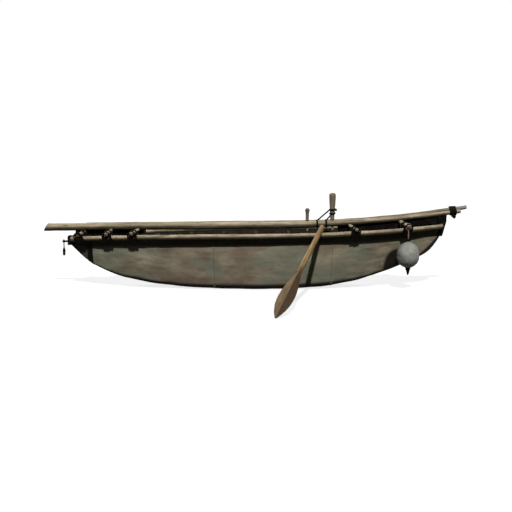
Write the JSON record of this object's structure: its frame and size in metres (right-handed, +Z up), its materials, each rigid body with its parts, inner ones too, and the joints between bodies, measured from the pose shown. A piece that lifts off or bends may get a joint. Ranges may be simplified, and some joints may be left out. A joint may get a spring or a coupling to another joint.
{
  "type": "fishing boat",
  "caption": "Open double-ended fishing boat: a hide cover on a lashed wood frame, long poles on cross poles, a paddle leaning on the rail and a hanging float.",
  "frame": {"origin": "on the floor under the middle of the flat bottom, on the centre line", "axes": "+X forward to the bow, +Y to port, +Z up"},
  "size_m": [5.7861, 3.146, 1.2823],
  "materials": {
    "hide_cover": "matte",
    "frame_wood": "matte",
    "pole_wood": "matte",
    "tarred_wood": "satin",
    "lashing_cord": "matte",
    "float_hide": "satin",
    "float_neck_hide": "satin",
    "paddle_wood": "matte"
  },
  "bodies": {
    "hull": {"hide_stern": "hide_cover", "hide_aft": "hide_cover", "hide_middle": "hide_cover", "hide_bow": "hide_cover", "keelson": "frame_wood", "floor_boards": "frame_wood", "bow_stem": "frame_wood", "stern_stem": "frame_wood", "rib_1": "frame_wood", "rib_2": "frame_wood", "rib_3": "frame_wood", "rib_4": "frame_wood", "rib_5": "frame_wood", "rib_6": "frame_wood", "rib_7": "frame_wood", "rib_8": "frame_wood", "rib_9": "frame_wood", "upper_batten_port": "frame_wood", "upper_batten_starboard": "frame_wood", "lower_batten_port": "frame_wood", "lower_batten_starboard": "frame_wood", "main_pole": "pole_wood", "second_pole": "pole_wood", "rail_port": "pole_wood", "rail_starboard": "pole_wood", "line_post": "pole_wood", "line_peg": "pole_wood", "stern_peg": "pole_wood", "cross_pole_stern": "pole_wood", "lashing_stern": "lashing_cord", "cross_pole_aft": "pole_wood", "lashing_aft": "lashing_cord", "cross_pole_quarter": "pole_wood", "lashing_quarter": "lashing_cord", "cross_pole_fore": "pole_wood", "lashing_fore": "lashing_cord", "cross_pole_bow": "pole_wood", "lashing_bow": "lashing_cord", "bow_head": "tarred_wood", "stern_head": "tarred_wood", "bow_bearer": "tarred_wood", "stern_bearer": "tarred_wood", "pole_lashing": "lashing_cord", "post_cords": "lashing_cord", "tail_cord": "lashing_cord", "tail_cord_loop": "lashing_cord"},
    "float": {"float": "float_hide", "float_neck": "float_neck_hide", "float_tail": "lashing_cord", "float_hanger": "lashing_cord"},
    "paddle": {"paddle": "paddle_wood"}
  },
  "joints": [
    {"name": "float_swing", "type": "hinge", "parent": "hull", "child": "float", "pos_m": [2.02843, -0.37168, 0.84715], "axis": [0.2571, -0.9495, -0.18], "range_deg": [-10, 35]},
    {"name": "paddle_lift", "type": "hinge", "parent": "hull", "child": "paddle", "pos_m": [0.835, -0.57986, 0.75387], "axis": [0.9908, 0.1338, 0.019], "range_deg": [-35, 0]}
  ]
}
